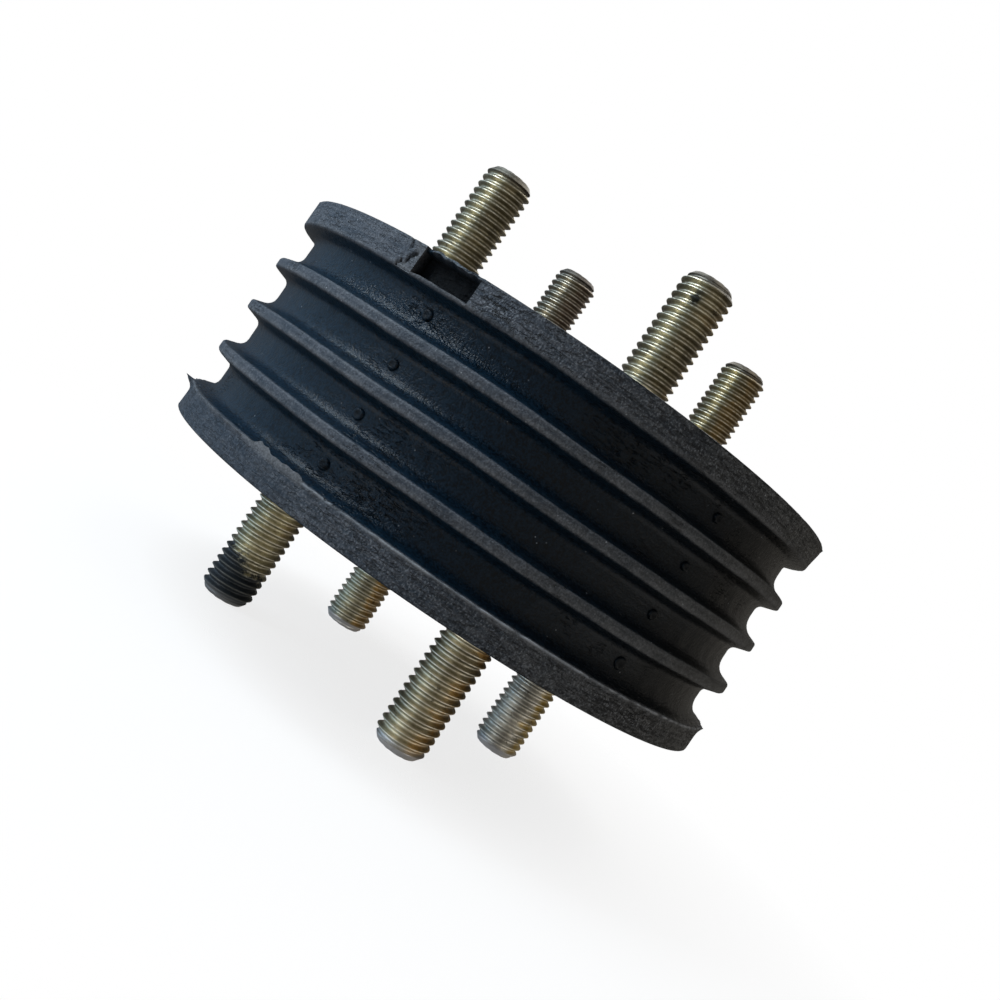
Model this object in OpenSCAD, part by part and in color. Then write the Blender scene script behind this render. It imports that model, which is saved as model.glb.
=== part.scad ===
// Round rubber-to-metal buffer with studs at both ends.
// Z runs along the axis. The origin is the centre of the lower seating face, and the notch faces -Y.

/* [Rubber body] */
// Diameter over the flanges and the ribs
body_d = 115; // [105:1:170]
// Height between the two seating faces
body_h = 44; // [41:1:66]
// Height of each flange's rim
rim_h = 4.9; // [4.8:0.1:7]
// Number of ribs between the flanges
rib_count = 3; // [1:1:3]
// Width of a rib at its tip, before its edges are rounded
rib_tip_w = 1.7; // [1.5:0.1:3]
// Depth of the grooves beside the ribs
groove_depth = 3.5; // [2.5:0.1:4.5]
// Lean of the grooves' walls, in degrees
groove_draft = 18; // [8:1:22]
// Radius where a groove's floor meets its walls
groove_fillet_r = 1.4; // [0.5:0.1:2]
// Radius on the edges of the ribs' tips
tip_r = 0.5; // [0.3:0.1:0.7]

/* [Notch in the upper rim] */
// Width of the notch around the rim
notch_w = 11.5; // [6:0.5:20]
// Rubber left between the notch and the seating face
notch_lip_t = 0.8; // [0.5:0.1:2]
// Rubber left between the notch and the rim's inner edge
notch_sill_t = 0.4; // [0.3:0.1:1]

/* [Gate marks] */
// Diameter of the raised gate marks in the grooves
gate_d = 1.9; // [1:0.1:2.4]
// Height of a gate mark over the groove's floor
gate_proud = 0.6; // [0.3:0.1:1.2]
// Number of gate marks around each groove
gate_count = 6; // [2:1:12]

/* [Parting line] */
// Reach of the flash beyond the lower rim
flash_proud = 1; // [0.3:0.1:2]
// Thickness of the flash at its edge
flash_edge_t = 0.3; // [0.2:0.05:0.6]
// Thickness of the flash where it leaves the rim
flash_root_t = 1.4; // [0.7:0.1:2.5]

/* [End plates] */
// Thickness of each steel plate
plate_t = 4; // [3:0.1:4.5]
// Rubber that covers the plate's edge
plate_cover = 3; // [2:0.1:5]

/* [Studs] */
// Number of studs at each end
stud_count = 4; // [3:1:6]
// Diameter of the circle that the studs stand on
stud_circle_d = 63.6; // [50:0.2:80]
// Outside diameter of the thread
stud_d = 10; // [8:0.5:10.5]
// Pitch of the thread, drawn as rings without a lead
thread_pitch = 1.5; // [1:0.25:1.75]
// Length of a stud beyond its seating face
stud_reach = 25; // [15:1:40]
// Least plain length between the seating face and the thread
stud_plain_h = 4; // [2:0.5:6]
// Height of the bevel at the stud's tip
stud_bevel_h = 1.5; // [0.8:0.1:2]
// Diameter of the flat at the stud's tip
stud_tip_d = 7.5; // [6:0.1:8]
// Diameter of the shoulder that is pressed into the plate
shoulder_d = 11; // [11:0.5:14]
// Diameter of the head behind the plate
head_d = 16; // [15:0.5:20]
// Thickness of the head behind the plate
head_t = 3.5; // [2:0.1:5]

/* [Hidden] */
// Facets on a large circle and on a small one
body_facets = 180;
small_facets = 48;
// How far a cut runs past the solid that it opens
past = 1;
// How far an arc runs past the straight walls that it joins
arc_past = 0.01;
// How deep a gate mark and the flash are rooted in the rubber
root = 0.5;
// Depth of the thread and width of its crest, as shares of its pitch, and the lean of its flanks
depth_share = 0.6;
crest_share = 0.125;
flank_lean = 30;

body_r = body_d / 2;
floor_r = body_r - groove_depth;
plate_r = body_r - plate_cover;

// The grooves share what the rims and the ribs leave of the height
groove_count = rib_count + 1;
groove_w = (body_h - 2 * rim_h - rib_count * rib_tip_w) / groove_count;
groove_pitch = groove_w + rib_tip_w;
floor_w = groove_w - 2 * groove_depth * tan(groove_draft);

// The fillets in one groove leave a flat on its floor that a gate mark stands on
corner_share = tan(45 - groove_draft / 2);
fillet_r = min(groove_fillet_r, (floor_w - gate_d) / 2 / corner_share);

notch_h = rim_h - notch_lip_t - notch_sill_t;
notch_dir = -90;
first_stud_dir = notch_dir + 180 / stud_count;

// The thread's rings end at the bevel, and what they leave of the stud's length is plain
thread_end_h = stud_reach - stud_bevel_h;
ring_count = floor((thread_end_h - stud_plain_h) / thread_pitch);
ring_mouth_w = thread_pitch * (1 - crest_share);
ring_depth = thread_pitch * depth_share;
ring_floor_r = stud_d / 2 - ring_depth;
ring_flank_w = ring_depth * tan(flank_lean);

rubber_colour = [0.13, 0.15, 0.18];
plate_colour = [0.34, 0.34, 0.35];
stud_colour = [0.60, 0.54, 0.36];

// Middle height of a groove, counted from the lower flange
function groove_z(i) = rim_h + groove_w / 2 + i * groove_pitch;

// A point at this distance and direction from the origin of an outline
function polar(distance, direction) = distance * [cos(direction), sin(direction)];

// Turns what is made for the lower end over to the upper end
module upper_end() {
    translate([0, 0, body_h]) mirror([0, 0, 1]) children();
}

// Repeats a shape at each stud's place
module at_studs() {
    for (i = [1:stud_count]) at_stud(i) children();
}

// Places a shape at one stud, counted from the one beside the notch
module at_stud(i) {
    turn = first_stud_dir + (i - 1) * 360 / stud_count;
    rotate(turn) translate([stud_circle_d / 2, 0]) children();
}

// What the rounding of one tip takes off: the sector outside the arc, between two directions
module tip_waste(centre, first_dir, last_dir) {
    reach = tip_r + past;
    translate(centre) difference() {
        polygon([
            [0, 0],
            polar(reach, first_dir),
            polar(reach / cos((last_dir - first_dir) / 2), (first_dir + last_dir) / 2),
            polar(reach, last_dir)
        ]);
        circle(tip_r + arc_past, $fn = small_facets);
    }
}

// Upper half of a groove's outline, radius across and height up, with its middle at height 0
module half_groove() {
    wall_dir = groove_draft + 90;
    fillet_at = [floor_r + fillet_r, floor_w / 2 - fillet_r * corner_share];
    tip_at = [body_r - tip_r, groove_w / 2 + tip_r * corner_share];
    polygon([
        [floor_r, 0],
        [floor_r, fillet_at.y],
        fillet_at + polar(fillet_r, wall_dir),
        [body_r + past, groove_w / 2 + past * tan(groove_draft)],
        [body_r + past, 0]
    ]);
    translate(fillet_at) circle(fillet_r + arc_past, $fn = small_facets);
    tip_waste(tip_at, wall_dir - 180, 0);
}

// Outline of one groove with round floor corners and round tips
module groove_outline() {
    half_groove();
    mirror([0, 1]) half_groove();
}

// Outline of the flash on the lower rim's inner edge
module flash_outline() {
    polygon([
        [body_r - root, rim_h - flash_root_t],
        [body_r, rim_h - flash_root_t],
        [body_r + flash_proud, rim_h - flash_edge_t],
        [body_r + flash_proud, rim_h],
        [body_r - root, rim_h]
    ]);
}

// Outline of the moulded body from the axis to the ribs
module body_outline() {
    difference() {
        square([body_r, body_h]);
        for (i = [0:groove_count - 1]) translate([0, groove_z(i)]) groove_outline();
    }
    flash_outline();
}

// Raised marks on the grooves' floors, the first column under the notch
module gate_marks() {
    for (i = [0:groove_count - 1], k = [0:gate_count - 1])
        rotate(notch_dir + k * 360 / gate_count)
            translate([floor_r - root, 0, groove_z(i)])
                rotate([0, 90, 0]) cylinder(d = gate_d, h = root + gate_proud, $fn = small_facets);
}

// The notch opens the rim as far as the plate's edge
module notch() {
    translate([0, 0, body_h - rim_h + notch_sill_t])
        difference() {
            rotate(notch_dir) translate([0, -notch_w / 2]) cube([body_r + past, notch_w, notch_h]);
            translate([0, 0, -past]) cylinder(r = plate_r, h = notch_h + 2 * past, $fn = body_facets);
        }
}

// The disc that a plate fills, and the room for the studs' heads behind it
module end_pocket() {
    translate([0, 0, -past]) cylinder(r = plate_r, h = plate_t + past, $fn = body_facets);
    at_studs()
        translate([0, 0, plate_t - past]) cylinder(d = head_d, h = head_t + past, $fn = small_facets);
}

module rubber_body() {
    color(rubber_colour) {
        difference() {
            rotate_extrude($fn = body_facets) body_outline();
            end_pocket();
            upper_end() end_pocket();
            notch();
        }
        gate_marks();
    }
}

module end_plate() {
    color(plate_colour) difference() {
        cylinder(r = plate_r, h = plate_t, $fn = body_facets);
        at_studs()
            translate([0, 0, -past]) cylinder(d = shoulder_d, h = plate_t + 2 * past, $fn = small_facets);
    }
}

// Corners of the groove beside one crest of the thread, counted from the stud's tip
function thread_ring(i) =
    let (top = (i + 1) * thread_pitch - thread_end_h, bottom = top - ring_mouth_w)
    [
        [stud_d / 2, bottom],
        [ring_floor_r, bottom + ring_flank_w],
        [ring_floor_r, top - ring_flank_w],
        [stud_d / 2, top]
    ];

// Section of a stud on its own axis, with the seating face at height 0 and the thread below it
module stud_outline() {
    polygon(concat(
        [
            [0, -stud_reach],
            [stud_tip_d / 2, -stud_reach],
            [stud_d / 2, -thread_end_h]
        ],
        [for (i = [0:ring_count - 1]) each thread_ring(i)],
        [
            [stud_d / 2, 0],
            [shoulder_d / 2, 0],
            [shoulder_d / 2, plate_t],
            [head_d / 2, plate_t],
            [head_d / 2, plate_t + head_t],
            [0, plate_t + head_t]
        ]
    ));
}

module stud() {
    color(stud_colour) rotate_extrude($fn = small_facets) stud_outline();
}

rubber_body();
upper_end() end_plate();  // upper_plate
end_plate();  // lower_plate
for (i = [1:stud_count]) {
    upper_end() at_stud(i) stud();
    at_stud(i) stud();
}
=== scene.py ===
"""Dresses a round rubber-to-metal buffer: its ribbed rubber, its threaded studs and its bonded plates."""

import logging
import math
from dataclasses import dataclass, field
from enum import Enum

import bmesh
import bpy
import numpy as np
from mathutils import Matrix, Vector


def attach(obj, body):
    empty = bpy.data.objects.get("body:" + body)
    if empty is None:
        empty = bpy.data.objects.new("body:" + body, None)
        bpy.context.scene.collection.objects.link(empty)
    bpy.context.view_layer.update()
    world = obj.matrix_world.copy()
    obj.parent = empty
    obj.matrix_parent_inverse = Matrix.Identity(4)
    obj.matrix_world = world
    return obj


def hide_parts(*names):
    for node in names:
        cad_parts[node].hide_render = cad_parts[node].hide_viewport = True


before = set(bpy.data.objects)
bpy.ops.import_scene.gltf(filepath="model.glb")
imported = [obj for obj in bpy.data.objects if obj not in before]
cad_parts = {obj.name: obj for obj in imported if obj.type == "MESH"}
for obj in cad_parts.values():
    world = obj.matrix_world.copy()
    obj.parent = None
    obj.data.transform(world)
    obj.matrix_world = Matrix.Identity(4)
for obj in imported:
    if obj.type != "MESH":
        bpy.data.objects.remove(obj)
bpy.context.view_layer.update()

log = logging.getLogger("buffer")

MM = 0.001
BODY = "root"
CAMERA_TURN = 24.92
NOTCH_TURN = -90.0
STUD_COUNT = 4
STUD_SPACING = 360 / STUD_COUNT
DARK_BEVEL = (0.085, 0.078, 0.072)

Triple = tuple[float, float, float]
Colour = Triple
Socket = bpy.types.NodeSocket


class End(Enum):
    """The two ends of the buffer."""

    UPPER = "upper"
    LOWER = "lower"


class Tip(Enum):
    """How the last threads of a stud look."""

    BARE = "bare"
    BLACKENED = "blackened"


class Graph:
    """Adds nodes to one tree and links them, for shaders and for geometry."""

    def __init__(self, tree: bpy.types.NodeTree) -> None:
        """Works on this tree."""
        self.tree = tree

    def add(self, kind: str, inputs: dict | None = None, **settings: object) -> bpy.types.Node:
        """Adds one node.

        Args:
            kind: Blender's name of the node type.
            inputs: Values or sockets for its inputs, by name or place.
            settings: Properties of the node itself.

        Returns:
            The new node.
        """
        node = self.tree.nodes.new(kind)
        for name, value in settings.items():
            setattr(node, name, value)
        for key, value in (inputs or {}).items():
            self.feed(node.inputs[key], value)
        return node

    def feed(self, socket: Socket, value: object) -> None:
        """Gives an input what it reads.

        Args:
            socket: The input.
            value: A socket to link to it, or the input's own value.
        """
        if isinstance(value, bpy.types.NodeSocket):
            self.tree.links.new(value, socket)
        else:
            socket.default_value = value

    def math(self, operation: str, *values: object) -> Socket:
        """Adds a Math node on up to three values and returns its result."""
        return self.add("ShaderNodeMath", dict(enumerate(values)), operation=operation).outputs[0]

    def times(self, first: object, second: object) -> Socket:
        """Returns the product of two values."""
        return self.math("MULTIPLY", first, second)

    def plus(self, first: object, second: object) -> Socket:
        """Returns the sum of two values."""
        return self.math("ADD", first, second)

    def minus(self, first: object, second: object) -> Socket:
        """Returns the difference of two values."""
        return self.math("SUBTRACT", first, second)

    def most(self, first: object, second: object) -> Socket:
        """Returns the larger of two values."""
        return self.math("MAXIMUM", first, second)

    def scaled(self, value: object, factor: object, base: object) -> Socket:
        """Returns a value times a factor, added to a base."""
        return self.math("MULTIPLY_ADD", value, factor, base)

    def ramp(
        self, value: object, low: object, high: object, start: object = 0.0, end: object = 1.0
    ) -> Socket:
        """Maps a value from low..high to start..end, held at both ends.

        Args:
            value: What is mapped.
            low: Where the ramp starts.
            high: Where the ramp ends.
            start: Result at low and below.
            end: Result at high and above.

        Returns:
            The mapped value.
        """
        inputs = {"Value": value, "From Min": low, "From Max": high, "To Min": start, "To Max": end}
        return self.add("ShaderNodeMapRange", inputs).outputs["Result"]

    def split(self, vector: Socket) -> tuple[Socket, Socket, Socket]:
        """Returns the three parts of a vector."""
        parts = self.add("ShaderNodeSeparateXYZ", {0: vector}).outputs
        return parts[0], parts[1], parts[2]

    def join(self, x: object, y: object, z: object) -> Socket:
        """Returns the vector of three parts."""
        return self.add("ShaderNodeCombineXYZ", {0: x, 1: y, 2: z}).outputs[0]

    def blend(self, share: object, first: object, second: object) -> Socket:
        """Mixes two colours.

        Args:
            share: Share of the second colour.
            first: A colour or a socket.
            second: A colour or a socket.

        Returns:
            The mixed colour.
        """
        first, second = (opaque(c) if isinstance(c, tuple) else c for c in (first, second))
        node = self.add("ShaderNodeMix", {0: share, 6: first, 7: second}, data_type="RGBA")
        return node.outputs[2]

    def noise(self, place: Socket, size: float, detail: float = 2.0, roughness: float = 0.5) -> Socket:
        """Adds a noise pattern.

        Args:
            place: Where the pattern is read.
            size: Size of its largest lumps in millimetres.
            detail: Octaves of finer noise.
            roughness: Share of the finer octaves.

        Returns:
            The noise value, 0 to 1.
        """
        inputs = {"Vector": place, "Scale": 1 / (size * MM), "Detail": detail, "Roughness": roughness}
        return self.add("ShaderNodeTexNoise", inputs).outputs[0]

    def place(self) -> Socket:
        """Returns the Object coordinates that a pattern reads."""
        return self.add("ShaderNodeTexCoord").outputs["Object"]

    def stretched(self, place: Socket, scale: Triple) -> Socket:
        """Returns a place scaled by axis, which stretches the pattern that reads it."""
        return self.add("ShaderNodeMapping", {"Vector": place, "Scale": scale}).outputs[0]

    def measure(self, operation: str, *vectors: object) -> Socket:
        """Adds a Vector Math node whose result is a number and returns that number."""
        node = self.add("ShaderNodeVectorMath", dict(enumerate(vectors)), operation=operation)
        return node.outputs["Value"]

    def stored(self, geometry: Socket, name: str, value: Socket) -> Socket:
        """Stores a number on the points of a mesh.

        Args:
            geometry: The mesh.
            name: Name of the number.
            value: The number at each point.

        Returns:
            The mesh with the number on it.
        """
        inputs = {"Geometry": geometry, "Name": name, "Value": value}
        node = self.add("GeometryNodeStoreNamedAttribute", inputs, data_type="FLOAT", domain="POINT")
        return node.outputs[0]

    def attribute(self, name: str) -> Socket:
        """Returns a number stored on the mesh."""
        return self.add("ShaderNodeAttribute", attribute_name=name).outputs["Fac"]

    def bump(self, height: Socket, strength: object, depth: float, below: Socket | None = None) -> Socket:
        """Adds a bump.

        Args:
            height: The relief, 0 to 1.
            strength: How much of it shows.
            depth: Depth of the relief in millimetres.
            below: Normal of a coarser bump under this one.

        Returns:
            The new normal.
        """
        inputs = {"Strength": strength, "Distance": depth * MM, "Height": height}
        node = self.add("ShaderNodeBump", inputs)
        if below is not None:
            self.feed(node.inputs["Normal"], below)
        return node.outputs[0]


def new_material(name: str) -> tuple[bpy.types.Material, Graph, bpy.types.Node]:
    """Starts a material.

    Args:
        name: The material's name.

    Returns:
        The material, its graph and its Principled shader.
    """
    material = bpy.data.materials.new(name)
    material.use_nodes = True
    shader = material.node_tree.nodes["Principled BSDF"]
    return material, Graph(material.node_tree), shader


def opaque(colour: Colour) -> tuple[float, float, float, float]:
    """Returns a colour with full opacity."""
    return (*colour, 1.0)


@dataclass(frozen=True)
class RubberFinish:
    """Moulded black rubber with dusty lands and a pebbled grain, and painted light: a bluish tint to the
    view's left, a brownish one to its right, painted shade in its hollows and painted highlights on its
    grain and edges.
    """

    cool_groove: Colour = (0.0032, 0.0125, 0.0240)
    warm_groove: Colour = (0.0030, 0.0030, 0.0028)
    soot_and_shade: Colour = (0.0012, 0.0015, 0.0019)
    cool_land: Colour = (0.058, 0.062, 0.072)
    warm_land: Colour = (0.062, 0.0615, 0.060)
    torn: Colour = (0.098, 0.098, 0.102)
    dust_and_highlight: Colour = (0.34, 0.35, 0.37)
    gloss: float = 0.18
    warm_from: float = 0.005
    warm_to: float = 0.06
    mottle_size: float = 15.0
    patch_size: float = 4.5
    streak_size: float = 1.5
    streak_stretch: Triple = (0.12, 0.12, 2.4)
    crease_size: float = 0.8
    crease_stretch: Triple = (0.45, 0.45, 2.0)
    pebble_size: float = 0.7
    grain_size: float = 0.3
    dot_size: float = 0.32
    speck_gap: float = 1.9
    streak_depth: float = 0.12
    pebble_depth: float = 0.24
    crease_depth: float = -0.5
    grain_depth: float = 0.19

    def build(self) -> bpy.types.Material:
        """Makes the rubber material.

        Returns:
            The material, which reads the body's numbers for wear and for painted light and shade.
        """
        material, graph, shader = new_material("moulded_rubber")
        place = graph.place()
        names = ("skin", "torn", "edge", "flash", "deep", "sheen", "wrinkle")
        skin, torn, edge, flash, deep, sheen, wrinkle = (graph.attribute(name) for name in names)
        mottle = graph.noise(place, self.mottle_size, 4, 0.6)
        patches = graph.noise(place, self.patch_size, 4, 0.65)
        streaks = graph.noise(graph.stretched(place, self.streak_stretch), self.streak_size, 3, 0.6)
        pebble = graph.noise(place, self.pebble_size, 2, 0.55)
        grain = graph.noise(place, self.grain_size, 1, 0.5)
        dots = graph.noise(place, self.dot_size, 1, 0.5)
        relief = graph.scaled(pebble, 0.45, graph.times(grain, 0.55))
        creased = graph.most(wrinkle, graph.ramp(mottle, 0.54, 0.64, 0.0, 0.4))
        creases = self.creases(graph, place, creased)

        # Painted light: grooves and lands bluish on the side to the view's left and brownish on the side to
        # its right, for the cool and the warm light from those sides
        painted_tint = self.painted_side_tint(graph, place, mottle)
        groove = graph.blend(painted_tint, self.cool_groove, self.warm_groove)
        land = graph.blend(painted_tint, self.cool_land, self.warm_land)
        streaked = graph.ramp(wrinkle, 0.1, 0.6, 0.40, 0.65)
        land = graph.blend(graph.ramp(streaks, 0.36, 0.60, streaked, 0.0), land, groove)
        land = graph.blend(graph.ramp(patches, 0.36, 0.56, 0.35, 0.0), land, groove)
        base = graph.blend(skin, groove, land)

        # Scuffed edges, lighter partly as a painted highlight where the ribs' lower edges and the flash line
        # catch the light, and rubber that was torn
        ragged = graph.times(edge, graph.ramp(patches, 0.38, 0.56, 0.25, 0.9))
        base = graph.blend(ragged, base, self.torn)
        base = graph.blend(graph.times(torn, 0.75), base, self.torn)

        # Painted shade in the hollows of the pebbled grain and a painted highlight on its tops
        hollow = graph.ramp(relief, 0.42, 0.53, graph.ramp(skin, 0.0, 1.0, 0.75, 0.28), 0.0)
        base = graph.blend(hollow, base, self.soot_and_shade)
        pale = graph.times(graph.ramp(skin, 0.0, 1.0, 0.01, 0.08), graph.ramp(relief, 0.56, 0.62))
        base = graph.blend(pale, base, self.dust_and_highlight)

        # Painted shade in pits and painted glints on the wrinkled lands, the flash lightened partly as a
        # painted highlight, painted shade in the notch, the crack, the marks' craters and the creases, and
        # dust specks
        coarse_skin = graph.times(skin, graph.ramp(wrinkle, 0.2, 0.9, 0.25, 1.0))
        pits = graph.times(graph.ramp(dots, 0.36, 0.44, 0.65, 0.0), coarse_skin)
        base = graph.blend(pits, base, self.soot_and_shade)
        glint = graph.times(graph.ramp(dots, 0.56, 0.66, 0.0, 0.30), coarse_skin)
        bright = graph.times(flash, graph.ramp(patches, 0.40, 0.55, 0.4, 0.75))
        base = graph.blend(graph.most(glint, bright), base, self.dust_and_highlight)
        # Painted shade in the notch's pocket, the crack, the gate marks' craters and the creases
        base = graph.blend(graph.most(deep, creases), base, self.soot_and_shade)
        cell = {"Vector": place, "Scale": 1 / (self.speck_gap * MM)}
        cells = graph.add("ShaderNodeTexVoronoi", cell).outputs["Distance"]
        specks = graph.times(graph.ramp(cells, 0.04, 0.08, 1.0, 0.0), graph.ramp(patches, 0.5, 0.6))
        base = graph.blend(graph.times(specks, 0.6), base, self.dust_and_highlight)
        graph.feed(shader.inputs["Base Color"], base)

        # Smooth grooves, dull lands and a dull notch
        worn = graph.most(skin, graph.most(torn, deep))
        uneven = graph.ramp(grain, 0.35, 0.65, -0.06, 0.08)
        rough = graph.plus(graph.ramp(worn, 0.0, 1.0, 0.36, 0.56), uneven)
        rough = graph.scaled(deep, 0.25, rough)
        graph.feed(shader.inputs["Roughness"], graph.scaled(sheen, -0.12, rough))
        shader.inputs["Specular IOR Level"].default_value = self.gloss

        rugged = graph.most(graph.times(sheen, 0.6), wrinkle)
        coarse = graph.ramp(rugged, 0.0, 1.0, 0.35, 1.0)
        normal = graph.bump(streaks, 0.4, self.streak_depth)
        normal = graph.bump(pebble, coarse, self.pebble_depth, normal)
        normal = graph.bump(creases, 1.0, self.crease_depth, normal)
        normal = graph.bump(grain, coarse, self.grain_depth, normal)
        graph.feed(shader.inputs["Normal"], normal)
        return material

    def painted_side_tint(self, graph: Graph, place: Socket, mottle: Socket) -> Socket:
        """Tells the side to the view's left, painted bluish for the cool light there, from the side to its
        right, painted brownish for the warm light.

        Args:
            graph: The material's graph.
            place: Where the pattern is read.
            mottle: Noise that makes the border uneven.

        Returns:
            0 on the bluish side and 1 on the brownish side.
        """
        x, y, _ = graph.split(place)
        turn = math.radians(CAMERA_TURN)
        across = graph.scaled(x, math.cos(turn), graph.times(y, math.sin(turn)))
        return graph.ramp(graph.scaled(mottle, 0.03, across), self.warm_from, self.warm_to)

    def creases(self, graph: Graph, place: Socket, where: Socket) -> Socket:
        """Draws thin creases that run mostly round the body, which the finish paints dark as shade.

        Args:
            graph: The material's graph.
            place: Where the pattern is read.
            where: Share of the creases that shows.

        Returns:
            1 in a crease and 0 beside it.
        """
        lines = graph.noise(graph.stretched(place, self.crease_stretch), self.crease_size, 2, 0.5)
        return graph.times(graph.ramp(lines, 0.54, 0.61), where)


@dataclass(frozen=True)
class StudLook:
    """What sets one stud apart: its plating, a stain from a line on and a dark spot, in millimetres."""

    plating: Colour = (0.52, 0.46, 0.32)
    stain: Colour = (0.46, 0.31, 0.12)
    stain_from: float = 0.55
    stain_share: float = 0.6
    grime_and_shade: float = 0.62
    bevel: Colour = (0.64, 0.64, 0.66)
    tip: Tip = Tip.BARE
    spot: Triple | None = None


@dataclass(frozen=True)
class StudFinish:
    """Rolled thread with an aged yellow zinc plating, worn bright on its crests, with painted highlights on
    its crests and roots and painted shade on its flanks.
    """

    look: StudLook
    seat: Vector
    bright: Colour = (0.80, 0.75, 0.62)
    root: Colour = (0.10, 0.090, 0.065)
    soot_and_shade: Colour = (0.008, 0.013, 0.019)
    radius: float = 5.0
    patch_size: float = 5.0
    grit_size: float = 0.6
    grit_depth: float = 0.07
    spot_size: float = 1.7

    def build(self, name: str) -> bpy.types.Material:
        """Makes the plated steel of one stud.

        Args:
            name: The material's name.

        Returns:
            The material, which reads the thread's crest and climb numbers.
        """
        material, graph, shader = new_material(name)
        place = graph.place()
        crest, climb = graph.attribute("crest"), graph.attribute("climb")
        look = self.look
        shift = {0: place, 1: tuple(self.seat)}
        own = graph.add("ShaderNodeVectorMath", shift, operation="SUBTRACT").outputs[0]
        turn, radius = math.radians(CAMERA_TURN), self.radius * MM
        across = graph.measure("DOT_PRODUCT", own, (math.cos(turn) / radius, math.sin(turn) / radius, 0.0))
        patches = graph.noise(place, self.patch_size, 4, 0.6)
        grit = graph.noise(place, self.grit_size, 3, 0.65)
        uneven = graph.minus(patches, 0.5)

        # Uneven plating with a stain to the right
        dull = tuple(0.55 * c for c in look.plating)
        colour = graph.blend(graph.ramp(patches, 0.36, 0.62), dull, look.plating)
        ragged = graph.scaled(uneven, 2.2, across)
        stained = graph.ramp(ragged, look.stain_from, look.stain_from + 0.35, 0.0, look.stain_share)
        colour = graph.blend(stained, colour, look.stain)

        # Grime and painted shade on the flanks, bright lines on the crests (wear and a painted highlight)
        # and on the roots (a painted highlight), dark spots
        flank = graph.times(graph.ramp(crest, 0.04, 0.30), graph.ramp(crest, 0.55, 0.85, look.grime_and_shade, 0.0))
        grimed_and_shaded = graph.times(flank, graph.ramp(grit, 0.3, 0.6, 0.5, 1.0))
        colour = graph.blend(grimed_and_shaded, colour, self.root)
        # Crest lines are wear with a painted highlight; root lines are a painted highlight
        lines = graph.most(graph.ramp(crest, 0.90, 1.0), graph.ramp(crest, 0.0, 0.12, 0.7, 0.0))
        worn = graph.times(lines, graph.ramp(grit, 0.40, 0.60, 0.1, 0.8))
        colour = graph.blend(worn, colour, self.bright)
        spots = graph.ramp(graph.noise(place, self.spot_size, 3, 0.6), 0.64, 0.70, 0.0, 0.7)
        colour = graph.blend(spots, colour, self.root)

        # The cut bevel and end
        ground = graph.most(graph.ramp(climb, 0.925, 0.945, 0.0, 0.8), graph.ramp(climb, 0.985, 0.999))
        colour = graph.blend(ground, colour, look.bevel)
        rough = graph.scaled(ground, 0.12, graph.ramp(grit, 0.3, 0.7, 0.28, 0.48))
        if look.spot is not None:
            gap = graph.measure("DISTANCE", own, tuple(c * MM for c in look.spot))
            near = graph.ramp(graph.scaled(grit, 1.6 * MM, gap), 1.5 * MM, 2.1 * MM, 0.9, 0.0)
            colour = graph.blend(near, colour, self.soot_and_shade)
        if look.tip is Tip.BLACKENED:
            reach = graph.scaled(uneven, 0.35, graph.scaled(across, -0.10, climb))
            reach = graph.scaled(graph.minus(grit, 0.5), 0.22, reach)
            covered = graph.times(graph.ramp(reach, 0.63, 0.68), graph.ramp(crest, 0.8, 1.0, 1.0, 0.92))
            sooted = graph.times(covered, graph.ramp(climb, 0.94, 0.97, 0.98, 0.80))
            colour = graph.blend(sooted, colour, self.soot_and_shade)
            rough = graph.scaled(sooted, 0.05, rough)
            graph.feed(shader.inputs["Metallic"], graph.scaled(sooted, -0.9, 1.0))
        else:
            shader.inputs["Metallic"].default_value = 1.0
        graph.feed(shader.inputs["Base Color"], colour)
        graph.feed(shader.inputs["Roughness"], rough)
        graph.feed(shader.inputs["Normal"], graph.bump(grit, 0.4, self.grit_depth))
        return material


@dataclass(frozen=True)
class PlateFinish:
    """Bare steel that was blasted for bonding, with rubber smears and light rust."""

    steel: Colour = (0.20, 0.20, 0.205)
    smear: Colour = (0.030, 0.030, 0.032)
    rust: Colour = (0.16, 0.085, 0.04)
    metal: float = 0.85
    cloud_size: float = 22.0
    rust_size: float = 9.0
    grit_size: float = 0.4
    grit_depth: float = 0.08

    def build(self) -> bpy.types.Material:
        """Makes the plate material.

        Returns:
            The material.
        """
        material, graph, shader = new_material("blasted_plate")
        place = graph.place()
        clouds = graph.noise(place, self.cloud_size, 5, 0.6)
        blooms = graph.noise(place, self.rust_size, 4, 0.65)
        grit = graph.noise(place, self.grit_size, 2, 0.6)
        colour = graph.blend(graph.ramp(clouds, 0.42, 0.66, 0.0, 0.85), self.steel, self.smear)
        colour = graph.blend(graph.ramp(blooms, 0.57, 0.70, 0.0, 0.7), colour, self.rust)
        colour = graph.blend(graph.ramp(grit, 0.4, 0.75, 0.0, 0.5), colour, self.smear)
        graph.feed(shader.inputs["Base Color"], colour)
        shader.inputs["Metallic"].default_value = self.metal
        graph.feed(shader.inputs["Roughness"], graph.ramp(clouds, 0.35, 0.7, 0.42, 0.7))
        graph.feed(shader.inputs["Normal"], graph.bump(grit, 0.4, self.grit_depth))
        return material


def ring_noise(
    turn: np.ndarray, height: np.ndarray, waves: range, lean: float, seed: int
) -> np.ndarray:
    """Smooth noise over the round wall that closes on itself.

    Args:
        turn: Angles in radians.
        height: Heights in millimetres.
        waves: Numbers of waves round the body.
        lean: Most that a wave shifts for each millimetre of height, in radians.
        seed: Seed of the waves' phases.

    Returns:
        Noise of about unit size on the grid of turn and height.
    """
    rng = np.random.default_rng(seed)
    total = np.zeros(np.broadcast(turn, height).shape)
    for count in waves:
        total += np.cos(count * turn + rng.uniform(0, math.tau) + rng.uniform(-lean, lean) * height)
    return total / math.sqrt(len(waves) / 2)


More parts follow.
